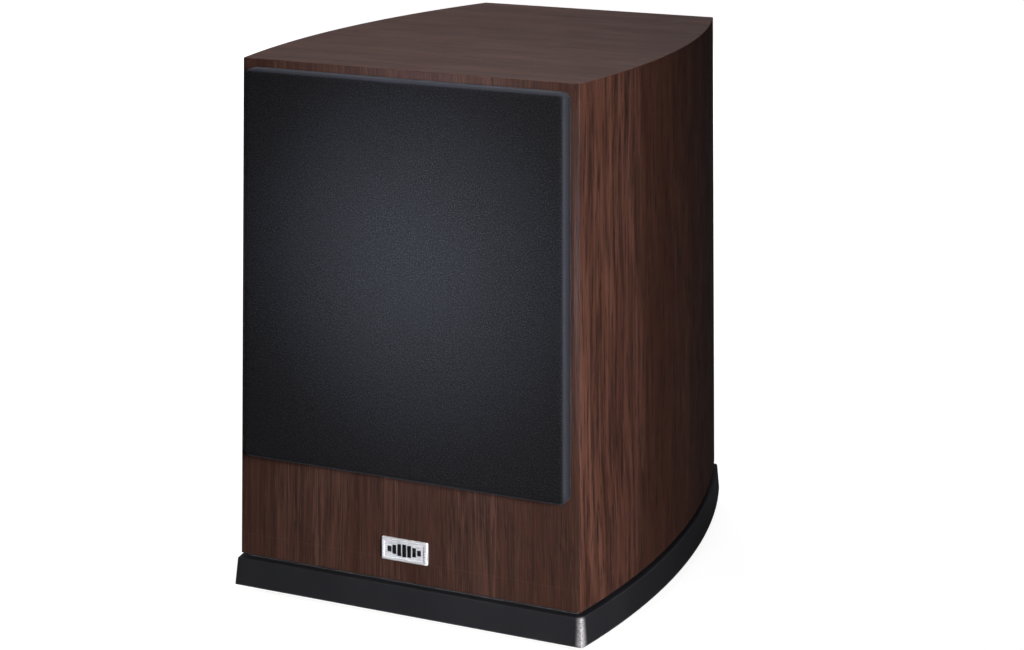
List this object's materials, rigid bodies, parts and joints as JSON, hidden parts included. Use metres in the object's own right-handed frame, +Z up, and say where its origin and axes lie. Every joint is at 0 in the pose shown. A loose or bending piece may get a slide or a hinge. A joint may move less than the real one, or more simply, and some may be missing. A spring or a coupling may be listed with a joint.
{
  "type": "active subwoofer",
  "caption": "Front-firing active subwoofer with bowed wood-veneer cabinet, lift-off cloth grille, long-throw woofer, down-firing port in a black plinth and a rear plate amplifier.",
  "frame": {"origin": "on the floor, at the centre of the footprint", "axes": "+Z up, +X to the right seen from the front, -Y towards the listener, so the grille faces -Y and the amplifier +Y"},
  "size_m": [0.3224, 0.399, 0.425],
  "materials": {
    "veneer": "dark brown wood veneer, satin lacquer",
    "inner_board": "bare fibreboard",
    "wadding": "fluffy polyester fibre",
    "badge_metal": "bevelled, bright rim and satin field",
    "badge_black": "gloss black inlay",
    "black_plastic": "satin black, fine texture",
    "grille_cloth": "tightly stretched blue-black knit",
    "rubber": "matt black rubber",
    "foam": "closed-cell foam",
    "black_metal": "black powder coat",
    "black_screw": "blackened steel",
    "zinc_steel": "zinc-plated steel",
    "ferrite": "sintered ferrite",
    "bright_aluminium": "bare aluminium",
    "copper": "enamelled copper",
    "cone": "filled polypropylene, dark grey",
    "spider_cloth": "resin-treated cotton",
    "board_resin": "glass-fibre circuit board, green",
    "tape": "wound copper under amber tape",
    "black_aluminium": "black anodised",
    "sleeve": "dark blue shrink sleeve",
    "gold": "gold-plated",
    "nickel": "nickel-plated",
    "gloss_black": "gloss black",
    "pale_plastic": "off-white",
    "lamp": "green diffused",
    "fuse_glass": "glass tube with metal caps",
    "wire_sleeve": "red and black insulation"
  },
  "bodies": {
    "cabinet": {"front_baffle": "veneer", "left_side_panel": "veneer", "right_side_panel": "veneer", "top_panel": "veneer", "bottom_panel": "veneer", "back_panel": "veneer", "internal_brace": "inner_board", "wadding": "wadding", "badge_frame": "badge_metal", "badge_mark": "badge_black", "peg_cups": "rubber", "woofer_basket": "black_metal", "magnet_plate": "zinc_steel", "magnet_ring": "ferrite", "yoke": "zinc_steel", "surround": "rubber", "trim_ring": "black_plastic", "spider": "spider_cloth", "terminal_board": "black_plastic", "tinsel_leads": "copper", "woofer_screws": "black_screw", "bass_reflex_tube": "black_plastic", "plinth": "black_plastic", "feet": "rubber", "foot_screws": "black_screw", "port_screws": "black_screw", "amp_gasket": "foam", "amp_faceplate": "black_metal", "amp_screws": "black_screw", "amp_board": "board_resin", "transformer": "tape", "transformer_clamp": "zinc_steel", "heat_sink": "black_aluminium", "power_transistors": "black_plastic", "filter_capacitors": "sleeve", "rca_block": "black_plastic", "rca_shells": "gold", "potentiometers": "zinc_steel", "slide_switch_bodies": "black_plastic", "rocker_housing": "black_plastic", "mains_inlet": "black_plastic", "inlet_pins": "nickel", "status_led": "lamp", "speaker_wires": "wire_sleeve"},
    "grille": {"grille_frame": "black_plastic", "grille_cloth": "grille_cloth", "grille_pegs": "black_plastic"},
    "cone_assembly": {"cone": "cone", "dust_cap": "cone", "voice_coil_former": "bright_aluminium", "voice_coil": "copper"},
    "level_control": {"level_shaft": "bright_aluminium", "level_knob": "black_plastic"},
    "crossover_control": {"crossover_shaft": "bright_aluminium", "crossover_knob": "black_plastic"},
    "phase_switch": {"phase_slider": "pale_plastic"},
    "mode_switch": {"mode_slider": "pale_plastic"},
    "power_switch": {"power_rocker": "gloss_black"},
    "fuse_holder": {"fuse_drawer": "black_plastic", "fuse": "fuse_glass"}
  },
  "joints": [
    {"name": "grille_off", "type": "slide", "parent": "cabinet", "child": "grille", "axis": [0, -1, 0], "range_m": [0, 0.06]},
    {"name": "cone_stroke", "type": "slide", "parent": "cabinet", "child": "cone_assembly", "axis": [0, -1, 0], "range_m": [-0.007, 0.007], "stiffness_N_per_m": 3000, "deforming": ["surround", "spider", "tinsel_leads"]},
    {"name": "level_turn", "type": "hinge", "parent": "cabinet", "child": "level_control", "pos_m": [0.038, 0.1875, 0.292], "axis": [0, 1, 0], "range_deg": [-150, 150]},
    {"name": "crossover_turn", "type": "hinge", "parent": "cabinet", "child": "crossover_control", "pos_m": [-0.038, 0.1875, 0.292], "axis": [0, 1, 0], "range_deg": [-150, 150]},
    {"name": "phase_slide", "type": "slide", "parent": "cabinet", "child": "phase_switch", "axis": [1, 0, 0], "range_m": [0, 0.005]},
    {"name": "mode_slide", "type": "slide", "parent": "cabinet", "child": "mode_switch", "axis": [1, 0, 0], "range_m": [-0.0035, 0.0035]},
    {"name": "power_rock", "type": "hinge", "parent": "cabinet", "child": "power_switch", "pos_m": [0.036, 0.1901, 0.134], "axis": [-1, 0, 0], "range_deg": [0, 20]},
    {"name": "fuse_pull", "type": "slide", "parent": "cabinet", "child": "fuse_holder", "axis": [0, 1, 0], "range_m": [0, 0.024]}
  ]
}
